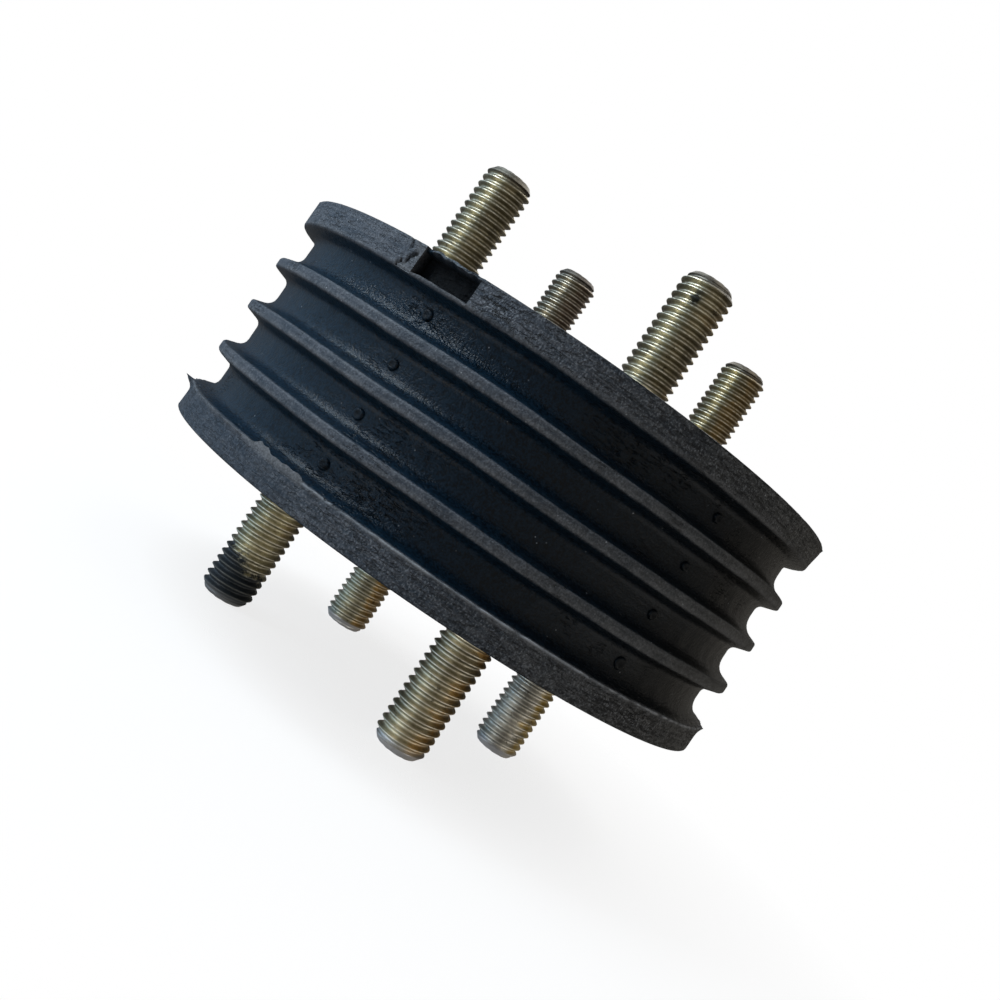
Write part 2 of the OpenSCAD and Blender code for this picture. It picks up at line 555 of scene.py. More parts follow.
def ease(value: np.ndarray, low: float, high: float) -> np.ndarray:
    """Returns a smooth step from 0 at low to 1 at high."""
    share = np.clip((value - low) / (high - low), 0, 1)
    return share * share * (3 - 2 * share)


def hump(value: np.ndarray, centre: float | np.ndarray, width: float) -> np.ndarray:
    """Returns a bell of height 1 round a centre."""
    return np.exp(-(((value - centre) / width) ** 2))


@dataclass(frozen=True)
class Corner:
    """One corner of the body's section: radius, height and rounding in millimetres."""

    r: float
    z: float
    rounding: float = 0.0


@dataclass(frozen=True)
class Spike:
    """A piece of flash that stands out further: angle and width in degrees, sizes in millimetres."""

    turn: float
    width: float
    reach: float
    lift: float


@dataclass(frozen=True)
class Wrinkles:
    """A wrinkled patch of the wall: degrees round the body and millimetres up it."""

    turn: float
    level: float
    width: float
    height: float
    share: float = 1.0


@dataclass
class RubberBody:
    """The ribbed body with its notch, its ragged flash and its torn corner, in millimetres."""

    radius: float = 57.5
    height: float = 44.0
    rim: float = 4.9
    ribs: int = 3
    rib_width: float = 1.7
    depth: float = 3.5
    draft: float = 18.0
    fillet: float = 1.4
    lower_fillet: float = 2.0
    tip_round: float = 0.5
    edge_round: float = 0.3
    plate_radius: float = 54.5
    plate: float = 4.0
    film: float = 0.12
    film_reach: float = 1.3
    film_edge: float = 0.1
    film_foot: float = 0.6
    notch_turn: float = -89.3
    notch_width: float = 11.3
    notch_low: float = 39.5
    notch_high: float = 43.2
    notch_floor: float = 54.65
    notch_seam: float = 0.02
    head_radius: float = 8.0
    head_depth: float = 3.5
    head_facets: int = 40
    stud_circle: float = 31.8
    right_side: float = 8.4
    spikes: tuple[Spike, ...] = (
        Spike(-138.6, 1.6, 1.6, 0.3),
        Spike(8.4, 1.8, 0.55, 0.1),
        Spike(-300.0, 2.5, 0.6, 0.3),
        Spike(-218.0, 3.0, 0.5, 0.7),
    )
    wrinkles: tuple[Wrinkles, ...] = (
        Wrinkles(-79, 41.6, 5, 2.0),
        Wrinkles(-42, 41.6, 7, 2.0, 0.7),
        Wrinkles(-118, 41.2, 7, 2.0, 0.5),
        Wrinkles(-90, 35.6, 4, 1.6, 0.9),
        Wrinkles(-79, 8.6, 6, 2.2),
        Wrinkles(-62, 3.0, 9, 1.8, 0.5),
        Wrinkles(-26, 2.6, 14, 2.4, 0.9),
        Wrinkles(0, 2.6, 12, 2.4, 0.9),
        Wrinkles(-12, 41.6, 14, 2.2, 0.7),
        Wrinkles(-300, 41.5, 9, 2.0, 0.8),
        Wrinkles(-230, 2.8, 12, 2.0, 0.7),
        Wrinkles(-208, 26.0, 8, 2.4, 0.8),
    )
    flap: tuple[tuple[float, float], ...] = (
        (-104.0, 0.0), (-101.5, 0.25), (-100.2, 0.55), (-99.3, 1.20), (-97.8, 0.90), (-96.4, 0.55),
        (-95.0, 0.50), (-93.0, 0.65), (-90.6, 0.78), (-89.6, 0.55), (-88.9, 0.0),
    )
    column_runs: tuple[Triple, ...] = (
        (20, 210, 1.3), (210, 255, 0.62), (255, 278, 0.2), (278, 380, 0.62),
    )
    step: float = 0.55
    arc_step: float = 20.0
    sharp_from: float = 50.0
    lump: float = 0.05
    ripple: float = 0.018
    row_drift: float = 0.05
    flash_width: float = 0.42
    spike_root: float = 1.9
    sag: float = 0.9
    flare: float = 0.55
    land_depth: float = 0.6

    @property
    def groove(self) -> float:
        """Width of one groove at its mouth."""
        return (self.height - 2 * self.rim - self.ribs * self.rib_width) / (self.ribs + 1)

    @property
    def pitch(self) -> float:
        """Distance from one groove to the next."""
        return self.groove + self.rib_width

    def corners(self) -> list[Corner]:
        """Lists the section's corners.

        Returns:
            The corners from the lower pocket round the outside to the upper pocket.
        """
        slope = self.depth * math.tan(math.radians(self.draft))
        floor = self.radius - self.depth
        inner = self.plate_radius - self.film_reach
        section = [
            Corner(self.plate_radius, self.plate),
            Corner(self.plate_radius, 0),
            Corner(inner, 0),
            Corner(inner + self.film_edge, -self.film),
            Corner(self.plate_radius, -self.film),
            Corner(self.plate_radius + self.film_foot, 0),
            Corner(self.radius, 0, self.edge_round),
        ]
        for i in range(self.ribs + 1):
            low = self.rim + i * self.pitch
            high = low + self.groove
            section += [
                Corner(self.radius, low, self.tip_round),
                Corner(floor, low + slope, self.lower_fillet),
                Corner(floor, high - slope, self.fillet),
                Corner(self.radius, high, self.tip_round),
            ]
        for level in (self.notch_low, self.notch_high):
            section += [Corner(self.radius, level + side * self.notch_seam) for side in (-1, 1)]
        top = self.height
        section += [
            Corner(self.radius, top, self.edge_round),
            Corner(self.plate_radius + self.film_foot, top),
            Corner(self.plate_radius, top + self.film),
            Corner(inner + self.film_edge, top + self.film),
            Corner(inner, top),
            Corner(self.plate_radius, top),
            Corner(self.plate_radius, top - self.plate),
        ]
        return section

    def section(self) -> np.ndarray:
        """Rounds the corners and divides the straight runs.

        Returns:
            Radius and height of each row of the surface, in millimetres.
        """
        corners = self.corners()
        rounds: list[list[Vector]] = []
        for i, corner in enumerate(corners):
            here = Vector((corner.r, corner.z))
            if corner.rounding == 0:
                rounds.append([here])
                continue
            back = (Vector((corners[i - 1].r, corners[i - 1].z)) - here).normalized()
            ahead = (Vector((corners[i + 1].r, corners[i + 1].z)) - here).normalized()
            opening = back.angle(ahead)
            centre = here + (back + ahead).normalized() * (corner.rounding / math.sin(opening / 2))
            start = here + back * (corner.rounding / math.tan(opening / 2)) - centre
            sweep = math.pi - opening
            side = math.copysign(1, back.x * ahead.y - back.y * ahead.x)
            steps = max(2, math.ceil(math.degrees(sweep) / self.arc_step))
            turned = [Matrix.Rotation(-side * sweep * k / steps, 2) @ start for k in range(steps + 1)]
            rounds.append([centre + t for t in turned])
        rows = [rounds[0][0]]
        for arc in rounds[1:]:
            gap = arc[0] - rows[-1]
            parts = max(1, math.ceil(gap.length / self.step)) if gap.length > 2 * self.film else 1
            rows += [rows[-1] + gap * (k / parts) for k in range(1, parts)] + arc
        return np.array([tuple(r) for r in rows])

    def columns(self) -> np.ndarray:
        """Lists the columns of the surface, closest round the notch and the torn flash.

        Returns:
            Their angles in degrees.
        """
        half, gap = math.degrees(self.notch_width / 2 / self.radius), self.notch_seam
        runs = [np.arange(a, b - step / 2, step) for a, b, step in self.column_runs]
        turns = np.concatenate(runs) - 360
        edges = [self.notch_turn + side * half + nudge for side in (-1, 1) for nudge in (-gap, gap)]
        clear = np.all(np.abs(turns[:, None] - np.array(edges)) > 3 * gap, axis=1)
        return np.sort(np.concatenate([turns[clear], edges]))

    def shape(self) -> tuple[np.ndarray, dict[str, np.ndarray]]:
        """Places every point of the outer surface.

        Returns:
            The points by column and row in millimetres, and the finish's numbers for wear and for painted
            light and shade.
        """
        rows = self.section()
        degrees = self.columns()[:, None]
        turn = np.radians(degrees)
        r = np.repeat(rows[None, :, 0], len(turn), 0)
        z = np.repeat(rows[None, :, 1], len(turn), 0)
        depth = self.radius - r
        wall = (z > 0.2) & (z < self.height - 0.2) & (r > self.plate_radius - self.depth)
        wall &= ~((r < self.plate_radius + 0.01) & ((z < self.rim) | (z > self.height - self.rim)))

        # The wall isn't quite round, and its ribs rise and fall a little
        lump = ring_noise(turn, z, range(2, 10), 0.10, 3)
        ripple = ring_noise(turn, z, range(30, 90), 1.2, 4)
        r = r + wall * (self.lump * lump + self.ripple * ripple)
        z = z + wall * self.row_drift * ring_noise(turn, z, range(3, 14), 0.05, 5)

        # Ragged flash on the lower rim's inner edge, with its spikes and the torn flap
        mouth = np.hypot(rows[:, 0] - self.radius, rows[:, 1] - self.rim)
        ridge = np.clip(1 - mouth / self.flash_width, 0, 1) ** 1.5
        ridge = (ridge / ridge.max())[None, :]
        rag = ring_noise(turn, 0 * turn, range(40, 160), 0, 6)
        drift = ring_noise(turn, 0 * turn, range(2, 12), 0, 7)
        reach = np.clip(0.14 + 0.10 * drift + 0.08 * rag, 0, 0.6)
        lift = np.clip(0.03 + 0.05 * rag, 0, 0.3)
        spiked = np.zeros_like(turn)
        for spike in self.spikes:
            bell = hump(degrees, spike.turn, spike.width) * (1 + 0.18 * rag)
            spiked = spiked + spike.reach * bell
            lift = lift + spike.lift * bell
        flap = np.interp(degrees, *zip(*self.flap))
        thick = np.clip(1 - mouth / self.spike_root, 0, 1) ** 2 * (rows[:, 1] < self.rim + 0.1)
        r = r + ridge * np.where(flap > 0, 0.10, reach) + np.maximum(ridge, thick[None, :]) * spiked
        z = z + ridge * (lift + flap * (1 + 0.06 * rag))

        # The grooves' lower corners are fuller on the right, and the upper rim flares there
        height_in_groove = np.clip((z - self.rim) % self.pitch / self.groove, 0, 1)
        low_half = np.clip(1 - height_in_groove / 0.5, 0, 1) ** 1.5
        droop = hump(degrees, self.right_side, 40) * low_half
        r = r + wall * droop * self.sag * np.clip(depth / self.depth, 0, 1)

        brim = np.hypot(rows[:, 0] - self.radius, rows[:, 1] - self.height)
        brim = np.clip(1 - brim / 0.5, 0, 1)[None, :]
        r = r + brim * (0.35 * hump(degrees, self.right_side, 1.2) + np.clip(0.05 * rag, 0, 0.2))
        flare = ease(z, self.height - self.rim, self.height) * hump(degrees, self.right_side, 16)
        land = rows[None, :, 0] > self.radius - self.land_depth
        r = r + wall * land * flare * self.flare

        # The film over the plates ends in an uneven edge
        film = np.abs(rows[:, 0] - (self.plate_radius - self.film_reach)) < 0.2
        waver = 0.45 * ring_noise(turn, 0 * turn, range(2, 11), 0, 8)
        waver = waver + 0.14 * ring_noise(turn, 0 * turn, range(20, 90), 0, 10)
        r = r + film[None, :] * np.clip(waver, -0.9, 0.6)

        r, z, torn, deep = self.cut_notch(degrees, r, z)

        # Lands, with the lower rim darker on the left
        low_left_darkening = 0.3 * ease(degrees, -86, -104) * (z < self.rim)
        skin = ease(r, self.radius - 0.5, self.radius - 0.15) * wall * (1 - low_left_darkening)

        # Scuffs along the ribs' lower edges and along the flash, partly a painted highlight on those edges;
        # the flash line's highlight is shaded down on part of the left
        tips = np.array([self.rim + i * self.pitch + self.groove for i in range(self.ribs + 1)])
        under = np.min(np.abs(rows[:, 1][:, None] - tips[None, :]), axis=1)
        edge = hump(under, 0.28, 0.22)[None, :] * land * 0.65
        line = np.clip(1.4 - mouth / 0.45, 0, 1)[None, :]
        shaded = 1 - 0.6 * ease(degrees, -88, -110) * ease(degrees, -170, -150)
        edge = np.clip(edge + line * shaded, 0, 1) * np.clip(1 - spiked, 0, 1)
        torn = np.clip(torn + line * (flap > 0), 0, 1)

        # The flash's bright edge, partly pale flash and partly a painted highlight, faint on the left and
        # gone where it is torn
        bare = np.clip(1 - 2 * spiked - 2 * flap, 0, 1)
        bare = bare * (0.15 + 0.45 * ease(degrees, -104, -88) + 0.4 * ease(degrees, -80, -50))
        thin = np.clip(1 - (mouth - mouth.min()) / 0.22, 0, 1)[None, :]
        flash = thin * np.clip(0.8 + 0.3 * rag, 0, 1) * bare

        # Wrinkled rims and patches, and the smooth foot of the upper groove
        rims = ((z < self.rim - 0.4) | (z > self.height - self.rim + 0.4)) & wall
        wrinkle = rims * (0.2 + 0.3 * ease(degrees, -100, -75) + 0.2 * ease(degrees, -150, -170))
        for patch in self.wrinkles:
            spread = hump(degrees, patch.turn, patch.width) * hump(z, patch.level, patch.height)
            wrinkle = np.maximum(wrinkle, patch.share * spread)
        upper_foot = self.height - self.rim - self.groove + 2.2
        sheen = hump(z, upper_foot, 1.7) * hump(degrees, -93, 26) * wall
        places = np.stack([r * np.cos(turn), r * np.sin(turn), z], axis=-1)
        finish_numbers = {"skin": skin, "torn": torn, "edge": edge, "flash": flash}
        return places, finish_numbers | {"deep": deep, "sheen": sheen, "wrinkle": wrinkle}

    def cut_notch(
        self, degrees: np.ndarray, r: np.ndarray, z: np.ndarray
    ) -> tuple[np.ndarray, np.ndarray, np.ndarray, np.ndarray]:
        """Opens the notch in the upper rim and tears the rim beside it.

        Args:
            degrees: The columns' angles.
            r: Radii by column and row.
            z: Heights by column and row.

        Returns:
            The new radii and heights, how torn each point is, and how deep in the notch or the crack's seam
            it lies, which the finish paints as shade.
        """
        arc = np.radians(degrees - self.notch_turn) * self.radius + 0 * z
        half = self.notch_width / 2
        rim = (r > self.radius - 0.9) & (z > self.height - self.rim - 0.1)
        within = (np.abs(arc) < half) & rim
        pocket = within & (z > self.notch_low) & (z < self.notch_high)
        rough = ring_noise(np.radians(degrees), z, range(60, 200), 2.0, 9)
        left_end = ease(-arc, half - 1.8, half - 0.2)
        r = np.where(pocket, self.notch_floor + 0.04 * rough, r)
        lip = within & (z >= self.notch_high)
        r = r - lip * (0.25 + 0.05 * rough + 0.5 * left_end)
        z = z + lip * (0.05 * rough - 0.30 * left_end + 0.12 * hump(arc, 3.0 - half, 1.4))
        sill = within & (z <= self.notch_low) & (z > self.notch_low - 0.3)
        z = z + sill * (0.07 * rough - 0.2 * left_end)

        # A crack runs down the rim to the left of the notch, and the rubber between them is torn
        level = z - (self.height - self.rim / 2)
        crack = -half - 2.3 + 1.1 * np.cos(level * 1.15) + 0.3 * np.sin(level * 4.2) + 0.16 * rough
        beside = rim & (arc < -half) & (arc > crack)
        seam = rim * hump(arc, crack, 0.20) * (arc < 0.2 - half)
        r = r - beside * (0.20 + 0.05 * rough) - seam * 0.45
        torn = np.clip(beside * (0.55 + 0.25 * rough) + sill * 0.7, 0, 1)
        # The notch's pocket and the crack's seam carry the deep number, which the finish paints as shade
        return r, z, torn, np.clip(pocket * 0.9 + seam, 0, 1)

    def mesh(self) -> bpy.types.Mesh:
        """Builds the closed body, with the pockets for the plates and the studs' heads.

        Returns:
            The mesh, with the wear numbers on its points.
        """
        places, finish_numbers = self.shape()
        count, rows = places.shape[:2]
        bm = bmesh.new()
        layers = {name: bm.verts.layers.float.new(name) for name in finish_numbers}
        grid = []
        for i in range(count):
            column = []
            for k in range(rows):
                vert = bm.verts.new(places[i, k] * MM)
                for name, layer in layers.items():
                    vert[layer] = float(finish_numbers[name][i, k])
                column.append(vert)
            grid.append(column)
        for i in range(count):
            here, there = grid[i], grid[(i + 1) % count]
            for k in range(rows - 1):
                bm.faces.new((here[k], there[k], there[k + 1], here[k + 1]))
        for row, level, inward in ((0, self.plate, 1), (rows - 1, self.height - self.plate, -1)):
            self.close_pocket(bm, [grid[i][row] for i in range(count)], level, inward)
        bmesh.ops.recalc_face_normals(bm, faces=bm.faces)
        mesh = bpy.data.meshes.new("rubber_body_moulded")
        bm.to_mesh(mesh)
        bm.free()
        mesh.polygons.foreach_set("use_smooth", [True] * len(mesh.polygons))
        mesh.set_sharp_from_angle(angle=math.radians(self.sharp_from))
        return mesh

    def close_pocket(self, bm: bmesh.types.BMesh, ring: list, level: float, inward: int) -> None:
        """Fills the floor of a plate's pocket, with the four rooms for the studs' heads.

        Args:
            bm: The body under construction.
            ring: Vertices round the pocket's floor.
            level: Height of that floor in millimetres.
            inward: 1 if the rooms go up from it, -1 if they go down.
        """
        around = [bm.edges.get((ring[i - 1], ring[i])) for i in range(len(ring))]
        segments = self.head_facets
        for i in range(STUD_COUNT):
            aim = math.radians(STUD_SPACING / 2 + STUD_SPACING * i)
            centre = Vector((math.cos(aim), math.sin(aim), 0)) * self.stud_circle
            loops = []
            for height in (level, level + inward * self.head_depth):
                loop = []
                for k in range(segments):
                    at = math.tau * k / segments
                    spot = centre + Vector((math.cos(at), math.sin(at), 0)) * self.head_radius
                    loop.append(bm.verts.new(Vector((spot.x, spot.y, height)) * MM))
                loops.append(loop)
            for k in range(segments):
                bm.faces.new((loops[0][k - 1], loops[0][k], loops[1][k], loops[1][k - 1]))
            bm.faces.new(loops[1])
            around += [bm.edges.get((loops[0][k - 1], loops[0][k])) for k in range(segments)]
        bmesh.ops.triangle_fill(bm, use_beauty=True, edges=around)

    def build(self, material: bpy.types.Material) -> bpy.types.Object:
        """Makes the body's piece, which stands for the CAD solid.

        Args:
            material: The rubber.

        Returns:
            The piece.
        """
        piece = place_piece("rubber_body_moulded", self.mesh(), material)
        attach(piece, BODY)
        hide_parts("rubber_body")
        return piece


def place_piece(
    name: str, mesh: bpy.types.Mesh, material: bpy.types.Material | None = None
) -> bpy.types.Object:
    """Adds a mesh to the scene at the origin.

    Args:
        name: The piece's name.
        mesh: Its mesh, with its place in it.
        material: Its finish, unless the mesh has one.

    Returns:
        The new object.
    """
    piece = bpy.data.objects.new(name, mesh)
    if material is not None:
        mesh.materials.clear()
        mesh.materials.append(material)
    bpy.context.scene.collection.objects.link(piece)
    return piece


class NodeTool:
    """A Geometry Nodes tree with named inputs that is turned into plain meshes."""

    def __init__(self, name: str, inputs: dict[str, str]) -> None:
        """Starts a tree.

        Args:
            name: The tree's name.
            inputs: Socket type of each named input.
        """
        self.tree = bpy.data.node_groups.new(name, "GeometryNodeTree")
        self.tree.interface.new_socket("Geometry", in_out="OUTPUT", socket_type="NodeSocketGeometry")
        self.names = {}
        for label, kind in inputs.items():
            socket = self.tree.interface.new_socket(label, in_out="INPUT", socket_type=kind)
            self.names[label] = socket.identifier
        self.graph = Graph(self.tree)
        self.given = self.graph.add("NodeGroupInput").outputs
        self.result = self.graph.add("NodeGroupOutput").inputs[0]

    def end(self, geometry: Socket) -> None:
        """Realizes what was made and gives it the material.

        Args:
            geometry: What the tree has made.
        """
        real = self.graph.add("GeometryNodeRealizeInstances", {0: geometry}).outputs[0]
        inputs = {"Geometry": real, "Material": self.given["Material"]}
        self.graph.feed(self.result, self.graph.add("GeometryNodeSetMaterial", inputs).outputs[0])

    def make(self, name: str, values: dict[str, object]) -> bpy.types.Object:
        """Runs the tree once.

        Args:
            name: Name of the new piece.
            values: Value of each named input.

        Returns:
            The piece as a plain mesh at the origin.
        """
        seed = bpy.data.objects.new(f"{name}_seed", bpy.data.meshes.new(f"{name}_seed"))
        bpy.context.scene.collection.objects.link(seed)
        modifier = seed.modifiers.new("maker", "NODES")
        modifier.node_group = self.tree
        for label, value in values.items():
            modifier[self.names[label]] = value
        graph = bpy.context.evaluated_depsgraph_get()
        mesh = bpy.data.meshes.new_from_object(seed.evaluated_get(graph))
        mesh.name = name
        seed.modifiers.remove(modifier)
        bpy.data.objects.remove(seed)
        return place_piece(name, mesh)


@dataclass
class Studs:
    """The eight threaded studs, in millimetres."""

    circle: float = 31.8
    radius: float = 4.95
    pitch: float = 1.5
    thread_depth: float = 0.80
    reach: float = 25.0
    plain: float = 3.3
    bevel: float = 1.5
    tip_radius: float = 3.75
    plate: float = 4.0
    shoulder_radius: float = 5.5
    head_radius: float = 8.0
    head: float = 3.5
    body_height: float = 44.0
    facets: int = 48
    strips: int = 12
    plain_crest: float = 0.87
    root_flat: float = 0.09
    crest_flat: float = 0.44
    fade: float = 0.5
    back_run: float = 1.5
    head_run: float = 0.6
    seat_run: float = 0.4
    tip_run: float = 0.8
    spare_run: float = 4.0
    spare_turns: int = 3
    lead_in: float = 1.2
    weld: float = 0.002
    sharp_from: float = 28.0
    clocking_step: float = 1.1
    clocking_rise: float = 0.6
    first_turn: float = -45.0
    looks: dict[str, StudLook] = field(default_factory=lambda: {
        "upper_stud_1": StudLook(bevel=DARK_BEVEL, spot=(0.6, -4.8, 20.3)),
        "upper_stud_2": StudLook((0.47, 0.40, 0.25), (0.40, 0.28, 0.13), -0.1, bevel=DARK_BEVEL),
        "upper_stud_3": StudLook((0.42, 0.36, 0.27), (0.24, 0.18, 0.16), 0.0, bevel=DARK_BEVEL),
        "upper_stud_4": StudLook(stain_from=0.9, stain_share=0.3, bevel=DARK_BEVEL),
        "lower_stud_1": StudLook((0.76, 0.69, 0.52), (0.60, 0.38, 0.12), 0.35, 0.8, 0.54),
        "lower_stud_2": StudLook((0.80, 0.77, 0.70), (0.68, 0.50, 0.14), 0.4, 0.85, 0.32),
        "lower_stud_3": StudLook((0.76, 0.72, 0.56), (0.58, 0.38, 0.13), 0.3, 0.75, 0.48),
        "lower_stud_4": StudLook(
            (0.78, 0.72, 0.52), stain_from=0.8, stain_share=0.4, grime_and_shade=0.48, tip=Tip.BLACKENED
        ),
    })

    LENGTHS = (
        "Thread radius", "Pitch", "Thread depth", "Reach", "Plain", "Bevel", "Tip radius",
        "Plate", "Shoulder radius", "Head radius", "Head",
    )

    def tool(self) -> NodeTool:
        """Builds the tree that winds one stud as a strip along its own helix.

        Returns:
            The tree.
        """
        inputs = {name: "NodeSocketFloat" for name in self.LENGTHS}
        inputs |= {"Clocking": "NodeSocketFloat", "Seat": "NodeSocketVector"}
        inputs |= {"Turn over": "NodeSocketVector", "Material": "NodeSocketMaterial"}
        tool = NodeTool("wound_stud", inputs)
        g, given = tool.graph, tool.given

        # A long flat strip, whose points know their turn round the axis and their place in the pitch
        run = self.head + self.plate + self.reach + self.spare_run
        length = (math.ceil(run / self.pitch) + self.spare_turns) * self.facets
        sheet = {"Size X": length, "Size Y": self.strips}
        sheet |= {"Vertices X": length + 1, "Vertices Y": self.strips + 1}
        grid = g.add("GeometryNodeMeshGrid", sheet).outputs["Mesh"]
        x, y, _ = g.split(g.add("GeometryNodeInputPosition").outputs[0])
        turn = g.math("DIVIDE", g.plus(x, length / 2), self.facets)
        phase = g.math("DIVIDE", g.plus(y, self.strips / 2 + 0.5), self.strips)
        run_at = g.times(given["Pitch"], g.minus(g.plus(turn, phase), self.lead_in))

        # The run goes out over the head, up its side, in to the shoulder and up to the tip
        marks = [0.0]
        for stretch in (self.back_run * MM, "Head", self.head_run * MM, "Plate", self.seat_run * MM):
            marks.append(g.plus(marks[-1], given[stretch] if isinstance(stretch, str) else stretch))
        back, head_end, under, seat, foot = marks[1:]
        tip = g.plus(foot, given["Reach"])
        bevel = g.minus(tip, given["Bevel"])
        cap = g.plus(tip, self.tip_run * MM)

        deep = g.plus(given["Plate"], given["Head"])
        height = g.minus(g.ramp(run_at, back, head_end, 0.0, given["Head"]), deep)
        height = g.plus(height, g.ramp(run_at, under, seat, 0.0, given["Plate"]))
        climbed = g.ramp(run_at, foot, tip)
        height = g.plus(height, g.times(climbed, given["Reach"]))

        hull = g.ramp(run_at, 0.0, back, 0.0, given["Head radius"])
        steps = (
            (head_end, under, "Head radius", "Shoulder radius"),
            (seat, foot, "Shoulder radius", "Thread radius"),
            (bevel, tip, "Thread radius", "Tip radius"),
        )
        for start, stop, wide, narrow in steps:
            drop = g.minus(given[narrow], given[wide])
            hull = g.plus(hull, g.ramp(run_at, start, stop, 0.0, drop))
        hull = g.minus(hull, g.ramp(run_at, tip, cap, 0.0, given["Tip radius"]))

        side = g.math("ABSOLUTE", g.minus(g.math("FRACT", phase), 0.5))
        crest = g.ramp(side, self.root_flat, self.crest_flat)
        sunk = g.times(given["Thread depth"], g.minus(1.0, crest))
        wound = g.minus(given["Thread radius"], sunk)
        start = g.plus(foot, given["Plain"])
        fade = g.ramp(run_at, start, g.plus(start, self.fade * MM))
        cut = g.times(fade, g.most(0.0, g.minus(hull, wound)))
        radius = g.minus(hull, cut)

        angle = g.plus(g.times(turn, math.tau), given["Clocking"])
        east = g.times(radius, g.math("COSINE", angle))
        north = g.times(radius, g.math("SINE", angle))
        spot = g.join(east, north, height)
        shown = g.scaled(fade, g.minus(crest, self.plain_crest), self.plain_crest)
        kept = g.stored(g.stored(grid, "crest", shown), "climb", climbed)
        wound_up = g.add("GeometryNodeSetPosition", {"Geometry": kept, "Position": spot}).outputs[0]
        near = {"Geometry": wound_up, "Distance": self.weld * MM}
        whole = g.add("GeometryNodeMergeByDistance", near).outputs[0]
        smooth = g.add("GeometryNodeSetShadeSmooth", {"Geometry": whole}).outputs[0]
        move = {"Geometry": smooth, "Translation": given["Seat"], "Rotation": given["Turn over"]}
        tool.end(g.add("GeometryNodeTransform", move).outputs[0])
        return tool

    def build(self) -> list[bpy.types.Object]:
        """Winds all studs, each of which stands for its CAD solid.

        Returns:
            The studs' pieces.
        """
        tool = self.tool()
        sizes = (
            self.radius, self.pitch, self.thread_depth, self.reach, self.plain, self.bevel,
            self.tip_radius, self.plate, self.shoulder_radius, self.head_radius, self.head,
        )
        values = {name: size * MM for name, size in zip(self.LENGTHS, sizes)}
        pieces = []
        for end in End:
            for i in range(1, STUD_COUNT + 1):
                node = f"{end.value}_stud_{i}"
                aim = math.radians(self.first_turn + STUD_SPACING * (i - 1))
                level = self.body_height if end is End.UPPER else 0.0
                seat = Vector((self.circle * math.cos(aim), self.circle * math.sin(aim), level)) * MM
                over = (0.0, 0.0, 0.0) if end is End.UPPER else (math.pi, 0.0, 0.0)
                finish = StudFinish(self.looks[node], seat).build(f"plated_{node}")
                clocking = self.clocking_step * i + self.clocking_rise * level
                own = {"Clocking": clocking, "Seat": tuple(seat), "Turn over": over, "Material": finish}
                piece = tool.make(f"{node}_threaded", values | own)
                piece.data.set_sharp_from_angle(angle=math.radians(self.sharp_from))
                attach(piece, BODY)
                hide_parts(node)
                pieces.append(piece)
        return pieces


